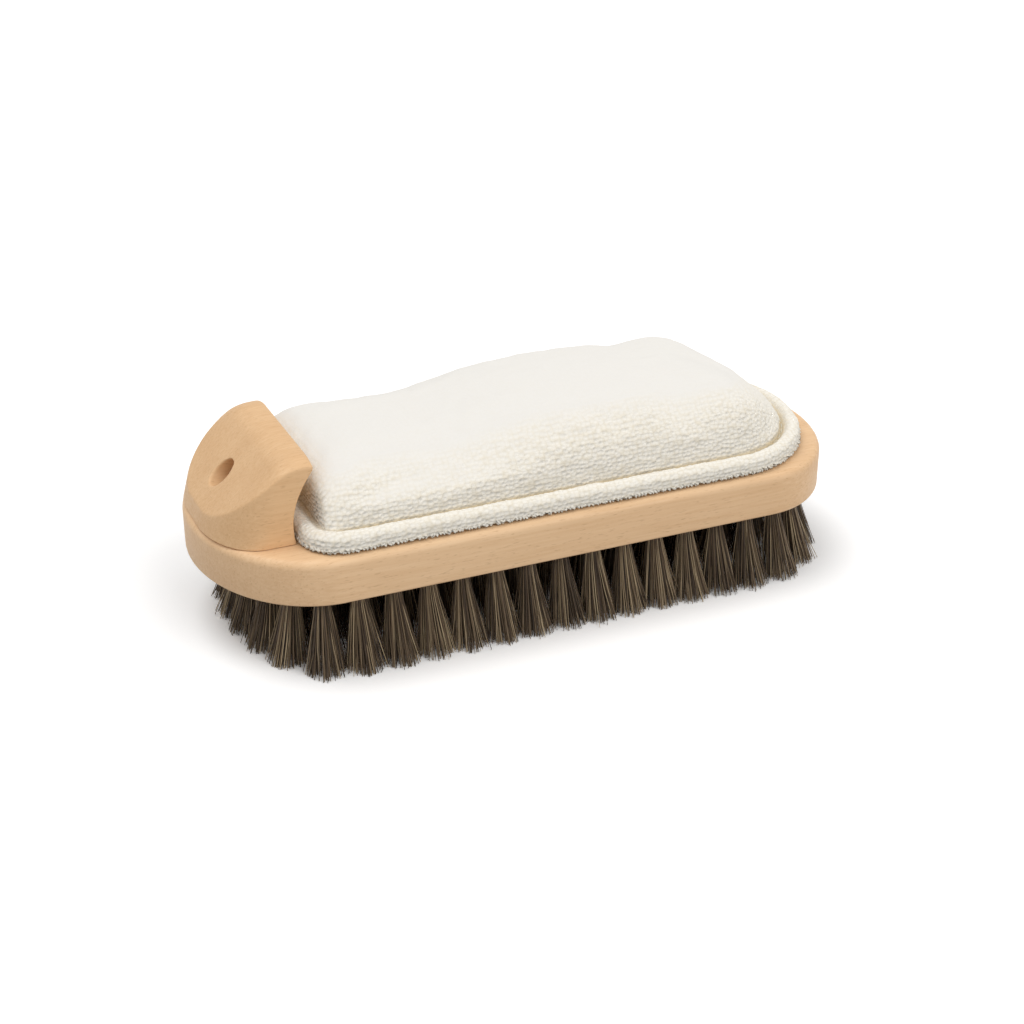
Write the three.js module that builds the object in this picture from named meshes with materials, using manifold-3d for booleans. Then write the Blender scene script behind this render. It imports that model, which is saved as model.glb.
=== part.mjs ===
// A fabric brush: a beech block set with hair tufts, a hooked beech nose on one end,
// and a terry pad on top that lifts off.
// Millimetres, +Z up. X runs along the brush with the nose at -X, and the tips of the tufts stand on Z = 0.
import * as THREE from "three";
import { TessellateModifier } from "three/addons/modifiers/TessellateModifier.js";
import { mergeGeometries, mergeVertices } from "three/addons/utils/BufferGeometryUtils.js";
import Module from "manifold-3d";

const wasm = await Module();
wasm.setup();

// Fits
const fitGap = 0.3; // between pieces that plug into, rest on or lie beside each other
const noseSeam = 0.2; // glue seam between the nose and the body

// Body
const bodyLength = 180;
const bodyWidth = 75.2;
const bodyEndDepth = 29.4; // length of each rounded end
const bodyThickness = 12;
const bodyTopRound = 2.2; // rounding of the top edge

// Tufts
const bristleLength = 20; // from the underside of the body to the tips
const tuftHoleDepth = 7;
const tuftNeckRadius = 1.9;
const tuftBendRadius = 2.5; // where the hairs start to spread
const tuftBendDepth = 7; // how far below the body that is
const edgeTuftCount = 43;
const edgeSideMargin = 6.5; // from the body's sides to the ring of edge tufts
const edgeFarMargin = 8.5; // from the body's far end to the ring of edge tufts
const edgeNoseMargin = 15; // from the body's end under the nose to the ring of edge tufts
const edgeTuftLean = 3; // how far the tips of the ring stand outside its holes
const innerRowsPerSide = 2; // rows between the middle row and the ring, on each side
const innerEndShare = 0.9; // the inner rows end this share of their spacing inside the ring
const innerTipOverlap = 0.5; // the spread tips of one inner row run into each other

// Nose
const noseTipInset = 1.2; // how far the nose stands back from the end of the body
const noseBaseLength = 20;
const noseWidth = 49.8; // at its foot
const noseTopWidth = 46;
const noseEndDepth = 11.5; // its end is rounded over this length
const noseEndRound = 20; // and over this width on each side
const noseEndLean = 4; // how far its end leans back over the height of the nose
const noseHeight = 20.8;
const noseFrontHeight = 4.4; // wall under the slope
const noseCrestSetback = 5.9; // from the lip to where the slope would meet the top
const noseCrestRound = 3.5; // rounding between the slope and the top
const noseLipReach = 6.2; // how far the lip hangs over the foot of the inner face
const noseLipBlunt = 0.5; // the lip's edge is this blunt before it is rounded
const noseHollowDepth = 1.9; // the inner face curves in behind its foot by this control point
const noseHollowHeight = 8.8;
const noseSideRound = 1; // rounding between the side faces and the rest
const hangHoleDiameter = 8;
const hangHoleSetback = 8.3; // from the nose's tip to the middle of the hole's mouth
const hangHoleHeight = 11.1; // the same point above the foot of the nose
const hangHoleFall = 20; // degrees that the hole falls towards the pad
const dowelRadius = 3;
const dowelSideMargin = 10; // from the nose's sides to the dowels
const dowelSetback = 12.5; // from the nose's tip to the dowels
const dowelRiseInNose = 8;
const dowelWeb = 0.8; // wood left between a dowel hole and the tuft holes

// Hook tape on the top of the body
const stripWidth = 16;
const stripThickness = 1.2;
const stripEndMargin = 24.5; // from the pad's ends to the strips
const stripSideMargin = 10.3; // from the pad's sides to the strips

// Pad
const padNoseGap = 0.7; // between the pad's end and the foot of the nose
const padEndMargin = 5.5; // from the far end of the body to the pad
const padSideMargin = 2.3; // from the sides of the body to the pad
const padEndDepth = 32; // length of its rounded far end
const padCornerRadius = 9; // the two corners beside the nose
const padRimHeight = 5.7;
const padRimRound = 2.4;
const padBaseThickness = 2.4;
const padCoverWall = 2.2;
const padCrownHeight = 22.5; // from the underside of the pad to the top of its crown
const padCrownInset = 5.8; // from the edge of the pad to the foot of the crown
const padCrownShoulder = 14; // how far the crown rounds in
const padCrownRound = 13; // over this height
const padCrownNoseCut = 5; // the rounding is cut short by this much beside the nose
const padNoseDrop = 5.1; // how much lower the crown is beside the nose
const padNoseLow = 36; // length that it stays that low
const padNoseRise = 44; // length over which it then rises
const padFarDrop = 10; // how much lower it is at the far end
const padFarFall = 38.5; // length over which it falls there
const stitchWidth = 1;
const stitchHeight = 0.9;
const stitchSetback = 1; // from the foot of the crown to the middle of the stitching

// Places that follow from the sizes above
const bodyBottom = bristleLength;
const bodyTop = bodyBottom + bodyThickness;
const bodyStraightHalf = bodyLength / 2 - bodyEndDepth;
const noseFoot = bodyTop + noseSeam;
const noseTop = noseFoot + noseHeight;
const noseTipX = noseTipInset - bodyLength / 2;
const noseFootX = noseTipX + noseBaseLength;
const noseLipX = noseFootX + noseLipReach;
const padFloor = bodyTop + fitGap;
const padNearX = noseFootX + padNoseGap;
const padFarX = bodyLength / 2 - padEndMargin;
const padWidth = bodyWidth - 2 * padSideMargin;
const padSplit = padFloor + padBaseThickness; // top of the base cloth
const padTop = padFloor + padCrownHeight;
const padRimTop = padFloor + padRimHeight;

// How finely round shapes are divided
const edgeTuftSides = 8;
const innerTuftSides = 6;
const roundHoleSides = 24;
const dowelSides = 12;
const endSteps = 22; // along each rounded end
const cornerSteps = 4;
const roundSteps = 4; // across a rounded edge
const curveSteps = 10;
const crownEdge = 11; // longest edge of the crown's faces
const crownPasses = 24;
const quarterTurn = Math.PI / 2;

// A closed BufferGeometry as a solid that can be cut and joined
function solid(geometry) {
  const bare = geometry.clone();
  bare.deleteAttribute("normal");
  bare.deleteAttribute("uv");
  const welded = mergeVertices(bare);
  const vertProperties = Float32Array.from(welded.attributes.position.array);
  const triVerts = Uint32Array.from(welded.index.array);
  return new wasm.Manifold(new wasm.Mesh({ numProp: 3, vertProperties, triVerts }));
}

// A solid back as a BufferGeometry
function geometryOf(manifold) {
  const { vertProperties, triVerts } = manifold.getMesh();
  const geometry = new THREE.BufferGeometry();
  geometry.setAttribute("position", new THREE.BufferAttribute(vertProperties, 3));
  geometry.setIndex(new THREE.BufferAttribute(triVerts, 1));
  geometry.computeVertexNormals();
  return geometry;
}

// A shape whose corners are elliptic arcs, each given as
// [x, y, radius x, radius y, first quarter turn, last quarter turn, steps]
function outline(arcs) {
  const points = arcs.flatMap(([x, y, radiusX, radiusY, from, to, steps]) =>
    new THREE.EllipseCurve(x, y, radiusX, radiusY, from * quarterTurn, to * quarterTurn).getPoints(steps),
  );
  return new THREE.Shape(points);
}

// A plain upright prism of a shape, between two heights
function prism(shape, bottom, top) {
  const settings = { depth: top - bottom, bevelEnabled: false };
  return new THREE.ExtrudeGeometry(shape, settings).translate(0, 0, bottom);
}

// A prism whose sides swell by `size` from the shape at its top and bottom, over the height `thickness`
function roundedPrism(shape, bottom, top, size, thickness) {
  const settings = {
    depth: top - bottom - 2 * thickness,
    bevelSize: size,
    bevelThickness: thickness,
    bevelSegments: roundSteps,
  };
  return new THREE.ExtrudeGeometry(shape, settings).translate(0, 0, bottom + thickness);
}

// An upright cylinder between two heights, with a corner facing along X
function post(x, y, radius, bottom, top, sides) {
  const cylinder = new THREE.CylinderGeometry(radius, radius, top - bottom, sides);
  return cylinder.rotateX(quarterTurn).rotateZ(quarterTurn).translate(x, y, (bottom + top) / 2);
}

// The part, and a finish and a place in it for each piece
const brush = new THREE.Group();

function addPiece(name, geometry, colour, roughness) {
  const material = new THREE.MeshStandardMaterial({ color: colour, roughness, metalness: 0 });
  const piece = new THREE.Mesh(geometry, material);
  piece.name = name;
  brush.add(piece);
}

const beech = [0xd9b283, 0.55];
const noseBeech = [0xd6ac7c, 0.5];
const dowelBeech = [0xcfa577, 0.7];
const darkHair = [0x4a3b2d, 0.6];
const hookTape = [0xe9e5da, 0.8];
const terry = [0xf0ece2, 0.95];
const thread = [0xe6dcc2, 0.85];
const filling = [0xf3ecd8, 0.95];

// Ring of edge tufts: the places of its holes and the outward direction at each
const ringFarDepth = bodyEndDepth - edgeFarMargin;
const ringNoseDepth = bodyEndDepth - edgeNoseMargin;
const ringHalfWidth = bodyWidth / 2 - edgeSideMargin;

function edgeTuftPlaces() {
  const ring = new THREE.Path();
  ring.moveTo(0, -ringHalfWidth);
  ring.lineTo(bodyStraightHalf, -ringHalfWidth);
  ring.absellipse(bodyStraightHalf, 0, ringFarDepth, ringHalfWidth, -quarterTurn, quarterTurn);
  ring.absellipse(-bodyStraightHalf, 0, ringNoseDepth, ringHalfWidth, quarterTurn, 3 * quarterTurn);
  ring.closePath();
  const points = ring.getSpacedPoints(edgeTuftCount).slice(0, edgeTuftCount);
  return points.map((point, index) => {
    const before = points.at(index - 1);
    const after = points[(index + 1) % edgeTuftCount];
    const along = after.clone().sub(before).normalize();
    return { x: point.x, y: point.y, outX: along.y, outY: -along.x };
  });
}

// Inner rows: straight, evenly spaced across the ring, ending a margin inside it
const innerTuftPitch = ringHalfWidth / (innerRowsPerSide + 1);
const innerEndMargin = innerEndShare * innerTuftPitch;

function innerRowPlaces(row) {
  const y = row * innerTuftPitch;
  const endShare = y / (ringHalfWidth - innerEndMargin);
  const round = Math.sqrt(1 - endShare * endShare);
  const far = bodyStraightHalf + (ringFarDepth - innerEndMargin) * round;
  const near = -bodyStraightHalf - (ringNoseDepth - innerEndMargin) * round;
  const count = Math.floor((far - near) / innerTuftPitch) + 1;
  const first = (near + far - (count - 1) * innerTuftPitch) / 2;
  return Array.from({ length: count }, (_, index) => ({ x: first + index * innerTuftPitch, y }));
}

const edgeTufts = edgeTuftPlaces();
const edgePitch = Math.hypot(edgeTufts[1].x - edgeTufts[0].x, edgeTufts[1].y - edgeTufts[0].y);
const edgeTipRadius = (edgePitch - fitGap) / 2;
const innerTipRadius = innerTuftPitch / 2 + innerTipOverlap;
const rowNumbers = Array.from({ length: 2 * innerRowsPerSide + 1 }, (_, index) => index - innerRowsPerSide);
const innerRows = rowNumbers.map(innerRowPlaces);

// One tuft: a neck in its hole, spreading below the body to flat-cut tips that may stand outside the neck
function tuft({ x, y, outX = 0, outY = 0 }, tipRadius, lean, sides) {
  const profile = [
    new THREE.Vector2(0, 0),
    new THREE.Vector2(tipRadius, 0),
    new THREE.Vector2(tuftBendRadius, bodyBottom - tuftBendDepth),
    new THREE.Vector2(tuftNeckRadius, bodyBottom),
    new THREE.Vector2(tuftNeckRadius, bodyBottom + tuftHoleDepth - fitGap),
    new THREE.Vector2(0, bodyBottom + tuftHoleDepth - fitGap),
  ];
  const geometry = new THREE.LatheGeometry(profile, sides).rotateX(quarterTurn).rotateZ(quarterTurn);
  const position = geometry.attributes.position;
  for (let index = 0; index < position.count; index += 1) {
    const depth = Math.max(0, bodyBottom - position.getZ(index)) / bristleLength;
    position.setX(index, position.getX(index) + x + outX * lean * depth);
    position.setY(index, position.getY(index) + y + outY * lean * depth);
  }
  return geometry;
}

function addTufts() {
  edgeTufts.forEach((place, index) => {
    const name = `edge_tuft_${String(index + 1).padStart(2, "0")}`;
    addPiece(name, tuft(place, edgeTipRadius, edgeTuftLean, edgeTuftSides), ...darkHair);
  });
  innerRows.forEach((places, index) => {
    const tufts = places.map((place) => solid(tuft(place, innerTipRadius, 0, innerTuftSides)));
    const row = tufts.reduce((joined, next) => joined.add(next));
    addPiece(`inner_tuft_row_${index + 1}`, geometryOf(row), ...darkHair);
  });
}

// Dowels stand half in the body and half in the nose
const dowelX = noseTipX + dowelSetback;
const dowelOut = noseWidth / 2 - dowelSideMargin;
const dowelPlaces = { near: -dowelOut, far: dowelOut };
const dowelHoleBottom = bodyBottom + tuftHoleDepth + dowelWeb;
const dowelHoleTop = noseFoot + dowelRiseInNose;

function dowelHoles() {
  const places = Object.values(dowelPlaces);
  const radius = dowelRadius + fitGap;
  return mergeGeometries(
    places.map((y) => post(dowelX, y, radius, dowelHoleBottom, dowelHoleTop, dowelSides)),
  );
}

function addDowels() {
  for (const [side, y] of Object.entries(dowelPlaces)) {
    const peg = post(dowelX, y, dowelRadius, dowelHoleBottom + fitGap, dowelHoleTop - fitGap, dowelSides);
    addPiece(`nose_dowel_${side}`, peg, ...dowelBeech);
  }
}

// Body: the outline with a rounded top edge, drilled for tufts and dowels
function tuftHoles() {
  const radius = tuftNeckRadius + fitGap;
  const top = bodyBottom + tuftHoleDepth;
  const bottom = bodyBottom - fitGap;
  const edge = edgeTufts.map(({ x, y }) => post(x, y, radius, bottom, top, edgeTuftSides));
  const inner = innerRows.flat().map(({ x, y }) => post(x, y, radius, bottom, top, innerTuftSides));
  return mergeGeometries([...edge, ...inner]);
}

function addBody() {
  const halfWidth = bodyWidth / 2 - bodyTopRound;
  const endDepth = bodyEndDepth - bodyTopRound;
  const flatTop = outline([
    [bodyStraightHalf, 0, endDepth, halfWidth, -1, 1, endSteps],
    [-bodyStraightHalf, 0, endDepth, halfWidth, 1, 3, endSteps],
  ]);
  const under = bodyBottom - bodyThickness; // the lower rounding is cut away with everything under the body
  const rounded = solid(roundedPrism(flatTop, under, bodyTop, bodyTopRound, bodyTopRound));
  const waste = new THREE.BoxGeometry(2 * bodyLength, 2 * bodyWidth, 2 * bodyThickness);
  const block = rounded.subtract(solid(waste.translate(0, 0, bodyBottom - bodyThickness)));
  const drilled = block.subtract(solid(tuftHoles())).subtract(solid(dowelHoles()));
  addPiece("brush_body", geometryOf(drilled), ...beech);
}

// Nose: its side view run across its width, trimmed to its plan, narrowing upwards, then drilled
function noseSideView() {
  const below = noseFoot - bodyThickness; // the foot is cut flat afterwards
  const frontX = noseTipX - noseTipInset; // the plan trims this end
  const innerX = noseFootX - noseSideRound;
  const lipX = noseLipX - noseSideRound;
  const top = noseTop - noseSideRound;
  const rise = noseHeight - noseFrontHeight;
  const run = noseLipX - noseCrestSetback - noseTipX;
  const slope = new THREE.Vector2(run, rise).normalize();
  const frontTop = noseFoot + noseFrontHeight - noseSideRound / slope.x;
  const crestX = noseTipX + ((top - frontTop) * run) / rise;
  const view = new THREE.Shape();
  view.moveTo(frontX, below);
  view.lineTo(innerX, below);
  view.lineTo(innerX, noseFoot);
  view.quadraticCurveTo(innerX - noseHollowDepth, noseFoot + noseHollowHeight, lipX, top - noseLipBlunt);
  view.quadraticCurveTo(lipX, top, lipX - noseLipBlunt, top);
  view.lineTo(crestX + noseCrestRound, top);
  view.quadraticCurveTo(crestX, top, crestX - noseCrestRound * slope.x, top - noseCrestRound * slope.y);
  view.lineTo(frontX, frontTop - (noseTipInset * rise) / run);
  return view;
}

// `lean` is how far the top moves towards the pad
function narrowUpwards(geometry, lean) {
  const position = geometry.attributes.position;
  for (let index = 0; index < position.count; index += 1) {
    const height = (position.getZ(index) - noseFoot) / noseHeight;
    const width = noseWidth + (noseTopWidth - noseWidth) * height;
    position.setX(index, position.getX(index) + lean * height);
    position.setY(index, (position.getY(index) * width) / noseWidth);
  }
  return geometry;
}

function addNose() {
  const settings = {
    depth: noseWidth - 2 * noseSideRound,
    curveSegments: curveSteps,
    bevelSize: noseSideRound,
    bevelThickness: noseSideRound,
    bevelSegments: roundSteps,
  };
  const run = new THREE.ExtrudeGeometry(noseSideView(), settings);
  run.translate(0, 0, noseSideRound - noseWidth / 2).rotateX(quarterTurn);
  const cornerX = noseTipX + noseEndDepth;
  const cornerY = noseWidth / 2 - noseEndRound;
  const plan = outline([
    [cornerX, cornerY, noseEndDepth, noseEndRound, 1, 2, curveSteps],
    [cornerX, -cornerY, noseEndDepth, noseEndRound, 2, 3, curveSteps],
    [cornerX, 0, bodyLength / 2, noseWidth, -1, 1, cornerSteps], // clear of the sides and the lip
  ]);
  const end = prism(plan, noseFoot, noseTop + bodyThickness);
  const hole = new THREE.CylinderGeometry(
    hangHoleDiameter / 2,
    hangHoleDiameter / 2,
    2 * noseBaseLength,
    roundHoleSides,
  );
  hole.rotateZ(quarterTurn).rotateY(THREE.MathUtils.degToRad(hangHoleFall));
  hole.translate(noseTipX + hangHoleSetback, 0, noseFoot + hangHoleHeight);
  const trimmed = solid(narrowUpwards(run, 0)).intersect(solid(narrowUpwards(end, noseEndLean)));
  const drilled = trimmed.subtract(solid(hole)).subtract(solid(dowelHoles()));
  addPiece("nose_grip", geometryOf(drilled), ...noseBeech);
}

// Hook tape: two thin strips stuck to the top face under the pad
const stripOut = (padWidth - stripWidth) / 2 - stripSideMargin;
const stripPlaces = { near: -stripOut, far: stripOut };
const stripLength = padFarX - padNearX - 2 * stripEndMargin;

function stripBox(y, margin) {
  const height = stripThickness + margin;
  const box = new THREE.BoxGeometry(stripLength + 2 * margin, stripWidth + 2 * margin, height);
  return box.translate((padNearX + padFarX) / 2, y, bodyTop + height / 2);
}

function addStrips() {
  for (const [side, y] of Object.entries(stripPlaces)) {
    addPiece(`hook_strip_${side}`, stripBox(y, 0), ...hookTape);
  }
}

// Pad: plan outline, stepped in from its edge and let out by `stretch` beside the nose
function padOutline(inset, stretch) {
  const halfWidth = padWidth / 2 - inset;
  const corner = Math.max(padCornerRadius - inset, fitGap);
  const left = padNearX + inset + corner - stretch;
  return outline([
    [padFarX - padEndDepth, 0, padEndDepth - inset, halfWidth, -1, 1, endSteps],
    [left, halfWidth - corner, corner, corner, 1, 2, cornerSteps],
    [left, corner - halfWidth, corner, corner, 2, 3, cornerSteps],
  ]);
}

// How far the crown's top lies below its highest part
function crownDrop(x) {
  const riseX = padNearX + padNoseLow;
  const beforeRise = 1 - THREE.MathUtils.smoothstep(x, riseX, riseX + padNoseRise);
  const fallen = THREE.MathUtils.smoothstep(x, padFarX - padFarFall, padFarX);
  return padNoseDrop * beforeRise + padFarDrop * fallen;
}

// A block far larger than the part, to keep one side of a plane
const spread = 2 * bodyLength;
const block = new THREE.BoxGeometry(spread, spread, spread);

// The crown's space, `inside` measured in from its outer face
function padCrown(inside) {
  const top = padTop - inside;
  const flat = padOutline(padCrownInset + padCrownShoulder, padCrownNoseCut);
  const bottom = padFloor - padCrownRound;
  const level = roundedPrism(flat, bottom, top, padCrownShoulder - inside, padCrownRound - inside);
  const dome = new TessellateModifier(crownEdge, crownPasses).modify(level);
  const position = dome.attributes.position;
  for (let index = 0; index < position.count; index += 1) {
    const height = Math.max(0, position.getZ(index) - padRimTop) / (top - padRimTop);
    position.setZ(index, position.getZ(index) - crownDrop(position.getX(index)) * height);
  }
  const noseFace = padNearX + padCrownInset + inside;
  return solid(dome).intersect(solid(block.clone().translate(noseFace + spread / 2, 0, 0)));
}

function addPad() {
  const upper = solid(block.clone().translate(0, 0, padSplit + fitGap + spread / 2));
  const lower = solid(block.clone().translate(0, 0, padSplit - spread / 2));
  const rim = solid(roundedPrism(padOutline(padRimRound, 0), padFloor, padRimTop, padRimRound, padRimRound));

  const seamLine = padCrownInset - stitchSetback;
  const seamBand = (margin, bottom, top) => {
    const band = padOutline(seamLine - stitchWidth / 2 - margin, 0);
    band.holes.push(padOutline(seamLine + stitchWidth / 2 + margin, 0));
    return prism(band, bottom, top);
  };
  const seamFloor = padRimTop - stitchHeight - fitGap;

  const shell = rim.add(padCrown(0)).intersect(upper);
  const hollow = shell.subtract(padCrown(padCoverWall));
  const cover = hollow.subtract(solid(seamBand(fitGap, seamFloor, padRimTop + fitGap)));
  addPiece("pad_cover_top", geometryOf(cover), ...terry);

  const strips = mergeGeometries(Object.values(stripPlaces).map((y) => stripBox(y, fitGap)));
  const base = rim.intersect(lower).subtract(solid(strips));
  addPiece("pad_cover_base", geometryOf(base), ...terry);
  const core = padCrown(padCoverWall + fitGap).intersect(upper);
  addPiece("pad_core", geometryOf(core), ...filling);
  addPiece("pad_stitching", seamBand(0, seamFloor + fitGap, padRimTop), ...thread);
}

addBody();
addTufts();
addNose();
addDowels();
addStrips();
addPad();

export default brush;
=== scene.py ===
import math
import random

import bmesh
import bpy
import numpy as np
from mathutils import Matrix, Vector, noise
from mathutils.kdtree import KDTree


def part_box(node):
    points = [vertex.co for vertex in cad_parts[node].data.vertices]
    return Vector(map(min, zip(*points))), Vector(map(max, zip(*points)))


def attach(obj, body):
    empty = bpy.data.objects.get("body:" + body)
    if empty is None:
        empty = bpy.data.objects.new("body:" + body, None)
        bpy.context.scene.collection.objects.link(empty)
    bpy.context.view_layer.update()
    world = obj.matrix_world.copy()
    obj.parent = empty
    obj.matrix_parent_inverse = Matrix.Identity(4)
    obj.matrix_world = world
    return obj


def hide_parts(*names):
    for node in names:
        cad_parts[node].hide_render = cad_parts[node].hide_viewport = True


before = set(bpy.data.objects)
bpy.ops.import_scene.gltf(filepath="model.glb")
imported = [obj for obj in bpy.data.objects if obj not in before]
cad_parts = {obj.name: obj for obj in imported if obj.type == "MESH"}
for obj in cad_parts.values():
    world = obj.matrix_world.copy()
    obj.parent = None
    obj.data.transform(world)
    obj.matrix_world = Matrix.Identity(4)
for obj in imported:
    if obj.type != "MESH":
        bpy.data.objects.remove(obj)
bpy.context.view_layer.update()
scene = bpy.context.scene
scene.view_settings.view_transform = "Standard"
mm = 0.001
tiny = 1e-6  # m, smaller steps count as none
capCorners = 8  # a face with more corners than this closes an end
mixA, mixB, mixOut = 6, 7, 2  # a Mix node's sockets for colours

# Camera

cameraView = {
    "azimuth": -23.76,  # degrees, from the near long side
    "elevation": 26.21,
    "distance": 489.07,  # mm
    "target": (0.14, 0.04, 16.12),  # mm, the middle of the picture
    "lens": 62.15,
    "sensor": 36,
    "nearest": 10,  # mm, nothing closer is drawn
}


def makeCamera(view):
    azimuth = math.radians(view["azimuth"])
    elevation = math.radians(view["elevation"])
    flat = math.cos(elevation)
    back = Vector((math.sin(azimuth) * flat, -math.cos(azimuth) * flat, math.sin(elevation)))
    lens = bpy.data.cameras.new("pictureCamera")
    lens.lens = view["lens"]
    lens.sensor_width = view["sensor"]
    lens.clip_start = view["nearest"] * mm
    camera = bpy.data.objects.new("pictureCamera", lens)
    camera.location = (Vector(view["target"]) + back * view["distance"]) * mm
    camera.rotation_euler = back.to_track_quat("Z", "Y").to_euler()
    scene.collection.objects.link(camera)
    scene.camera = camera


makeCamera(cameraView)
print("camera set")

# Helpers


def linkMesh(name, mesh):
    piece = bpy.data.objects.new(name, mesh)
    scene.collection.objects.link(piece)
    return piece


def linkBmesh(name, bm):
    mesh = bpy.data.meshes.new(name)
    bm.to_mesh(mesh)
    bm.free()
    return linkMesh(name, mesh)


def applyModifiers(piece):
    graph = bpy.context.evaluated_depsgraph_get()
    baked = bpy.data.meshes.new_from_object(piece.evaluated_get(graph))
    piece.modifiers.clear()
    piece.data = baked
    return baked


def smoothShade(mesh, angle=40):
    mesh.shade_smooth()
    mesh.set_sharp_from_angle(angle=math.radians(angle))


def meshPoints(mesh):
    points = np.empty(len(mesh.vertices) * 3)
    mesh.vertices.foreach_get("co", points)
    return points.reshape(-1, 3)


def setPoints(mesh, points):
    mesh.vertices.foreach_set("co", points.ravel())
    mesh.update()


def setTone(mesh, name, values):
    mesh.attributes.new(name, "FLOAT", "POINT").data.foreach_set("value", np.asarray(values, np.float32))


def finishPiece(piece, material, body, slot, *nodes):
    piece.data.materials.clear()
    piece.data.materials.append(material)
    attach(piece, body)
    if nodes:
        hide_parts(*nodes)


def curveMesh(name, runs, radius):  # thin four-sided tubes, each from its points and the thickness at each point
    curve = bpy.data.curves.new(name, "CURVE")
    curve.dimensions = "3D"
    curve.bevel_depth = radius
    curve.bevel_resolution = 0
    curve.use_fill_caps = True
    for points, thickness in runs:
        spline = curve.splines.new("POLY")
        spline.points.add(len(points) - 1)
        for knot, point, thick in zip(spline.points, points, thickness):
            knot.co = (*point, 1)
            knot.radius = thick
    holder = bpy.data.objects.new(name, curve)
    scene.collection.objects.link(holder)
    graph = bpy.context.evaluated_depsgraph_get()
    mesh = bpy.data.meshes.new_from_object(holder.evaluated_get(graph))
    mesh.name = name
    bpy.data.objects.remove(holder)
    bpy.data.curves.remove(curve)
    return mesh


def unitRing(bm, steps):  # a round face, turned so that no corner lies on an axis
    ring = bmesh.ops.create_circle(bm, cap_ends=True, segments=steps, radius=1)["verts"]
    bmesh.ops.rotate(bm, verts=ring, cent=(0, 0, 0), matrix=Matrix.Rotation(math.pi / steps, 3, "Z"))
    return ring


def extrude(bm, shift):  # draws the mesh's one face out into a solid
    grown = bmesh.ops.extrude_face_region(bm, geom=bm.faces[:])
    moved = [item for item in grown["geom"] if isinstance(item, bmesh.types.BMVert)]
    bmesh.ops.translate(bm, verts=moved, vec=shift)
    bmesh.ops.recalc_face_normals(bm, faces=bm.faces[:])
    return moved


def cutAway(bm, place, outwards):  # cuts off what lies past a plane and closes the cut
    everything = bm.verts[:] + bm.edges[:] + bm.faces[:]
    cut = bmesh.ops.bisect_plane(bm, geom=everything, plane_co=place, plane_no=outwards, clear_outer=True)
    rim = [item for item in cut["geom_cut"] if isinstance(item, bmesh.types.BMEdge)]
    bmesh.ops.edgenet_fill(bm, edges=rim)
    bmesh.ops.recalc_face_normals(bm, faces=bm.faces[:])


def roundEdges(bm, edges, size, steps):
    bmesh.ops.bevel(bm, geom=edges, offset=size * mm, segments=steps, profile=0.5, affect="EDGES", material=-1)


def soften(bm, passes):
    for _ in range(passes):
        bmesh.ops.smooth_vert(bm, verts=bm.verts, factor=0.5, use_axis_x=True, use_axis_y=True, use_axis_z=True)


def remesh(piece, step):
    grid = piece.modifiers.new("grid", "REMESH")
    grid.mode = "VOXEL"
    grid.voxel_size = step * mm
    return applyModifiers(piece)


def clamp(value, low=0, high=1):
    return min(max(value, low), high)


def addMath(nodes, operation):
    maths = nodes.new("ShaderNodeMath")
    maths.operation = operation
    return maths


def addMix(nodes):
    mix = nodes.new("ShaderNodeMix")
    mix.data_type = "RGBA"
    return mix


# Stage and light

stageLook = {
    "floorSize": 6,  # m, half its side
    "floorColor": (0.4, 0.4, 0.4, 1),  # what the brush gets light from
    "floorShown": (1.12, 1.12, 1.12, 1),  # what the camera sees: paper exposed to white
    "worldStrength": 0.58,
    "worldShown": 1.0,
    "keyFrom": (-0.25, 0.28, 1.0),
    "keySpread": 35,  # degrees across the soft light
    "keyStrength": 1.05,
    "fillFrom": (0.45, -0.85, 0.75),
    "fillSpread": 50,
    "fillStrength": 1.05,
}


def addLamp(name, comesFrom, spread, strength):
    lamp = bpy.data.lights.new(name, "SUN")
    lamp.angle = math.radians(spread)
    lamp.energy = strength
    holder = bpy.data.objects.new(name, lamp)
    holder.location = Vector(comesFrom)
    holder.rotation_euler = Vector(comesFrom).to_track_quat("Z", "Y").to_euler()
    scene.collection.objects.link(holder)


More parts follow.
